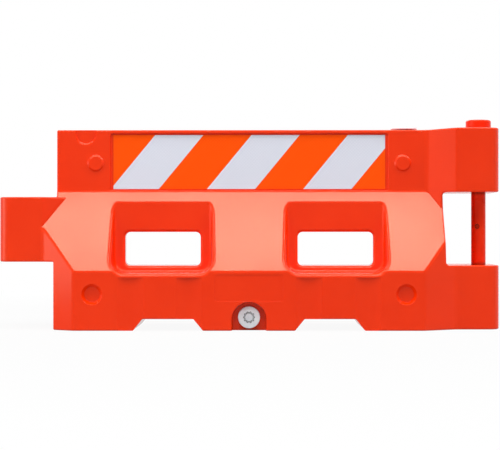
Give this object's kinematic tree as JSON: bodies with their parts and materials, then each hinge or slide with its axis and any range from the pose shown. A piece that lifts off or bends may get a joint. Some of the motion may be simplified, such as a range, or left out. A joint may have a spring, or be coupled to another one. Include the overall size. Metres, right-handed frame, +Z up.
{
  "type": "plastic safety barrier",
  "caption": "Hollow water-filled plastic road barrier with windows, fork slots, interlocking end lugs, a lift-out connecting pin, screw closures and striped reflective sheeting.",
  "frame": {"origin": "on the ground under the middle of the barrier", "axes": "+X along the barrier towards the end with the pin, front face towards -Y, +Z up"},
  "size_m": [2, 0.456, 0.8438],
  "materials": {
    "shell_plastic": "semi-gloss rotomoulded polyethylene, orange-red",
    "pin_plastic": "smooth moulded polyethylene, red",
    "cap_plastic": "moulded polypropylene, light grey",
    "insert_plastic": "moulded polyethylene, black",
    "gasket_rubber": "matt EPDM rubber, black",
    "white_sheeting": "retroreflective film, white",
    "orange_sheeting": "retroreflective film, orange"
  },
  "bodies": {
    "barrier": {"barrier_shell": "shell_plastic", "fill_port_insert": "insert_plastic", "drain_port_insert": "insert_plastic", "front_orange_stripe_1": "orange_sheeting", "front_white_stripe_1": "white_sheeting", "front_orange_stripe_2": "orange_sheeting", "front_white_stripe_2": "white_sheeting", "front_orange_stripe_3": "orange_sheeting", "front_white_stripe_3": "white_sheeting", "front_orange_stripe_4": "orange_sheeting", "rear_orange_stripe_1": "orange_sheeting", "rear_white_stripe_1": "white_sheeting", "rear_orange_stripe_2": "orange_sheeting", "rear_white_stripe_2": "white_sheeting", "rear_orange_stripe_3": "orange_sheeting", "rear_white_stripe_3": "white_sheeting", "rear_orange_stripe_4": "orange_sheeting"},
    "connecting_pin": {"pin_tube": "pin_plastic", "pin_head": "pin_plastic", "pin_nose": "pin_plastic"},
    "fill_cap_gasket": {"fill_cap_gasket": "gasket_rubber"},
    "fill_cap": {"fill_cap": "cap_plastic"},
    "drain_plug_gasket": {"drain_plug_gasket": "gasket_rubber"},
    "drain_plug": {"drain_plug": "cap_plastic"}
  },
  "joints": [
    {"name": "pin_lift", "type": "slide", "parent": "barrier", "child": "connecting_pin", "axis": [0, 0, 1], "range_m": [0, 0.79]},
    {"name": "fill_cap_rise", "type": "slide", "parent": "barrier", "child": "fill_cap_gasket", "axis": [0, 0, 1], "range_m": [0, 0.024]},
    {"name": "fill_cap_turn", "type": "hinge", "parent": "fill_cap_gasket", "child": "fill_cap", "pos_m": [0.63, 0, 0.8], "axis": [0, 0, 1], "range_deg": [0, 1440]},
    {"name": "drain_plug_draw", "type": "slide", "parent": "barrier", "child": "drain_plug_gasket", "axis": [0, -1, 0], "range_m": [0, 0.02]},
    {"name": "drain_plug_turn", "type": "hinge", "parent": "drain_plug_gasket", "child": "drain_plug", "pos_m": [0, -0.183, 0.052], "axis": [0, -1, 0], "range_deg": [0, 1440]}
  ],
  "couplings": [
    {"joint": "fill_cap_rise", "follows": "fill_cap_turn", "m_per_rad": 0.00095493},
    {"joint": "drain_plug_draw", "follows": "drain_plug_turn", "m_per_rad": 0.00079577}
  ]
}
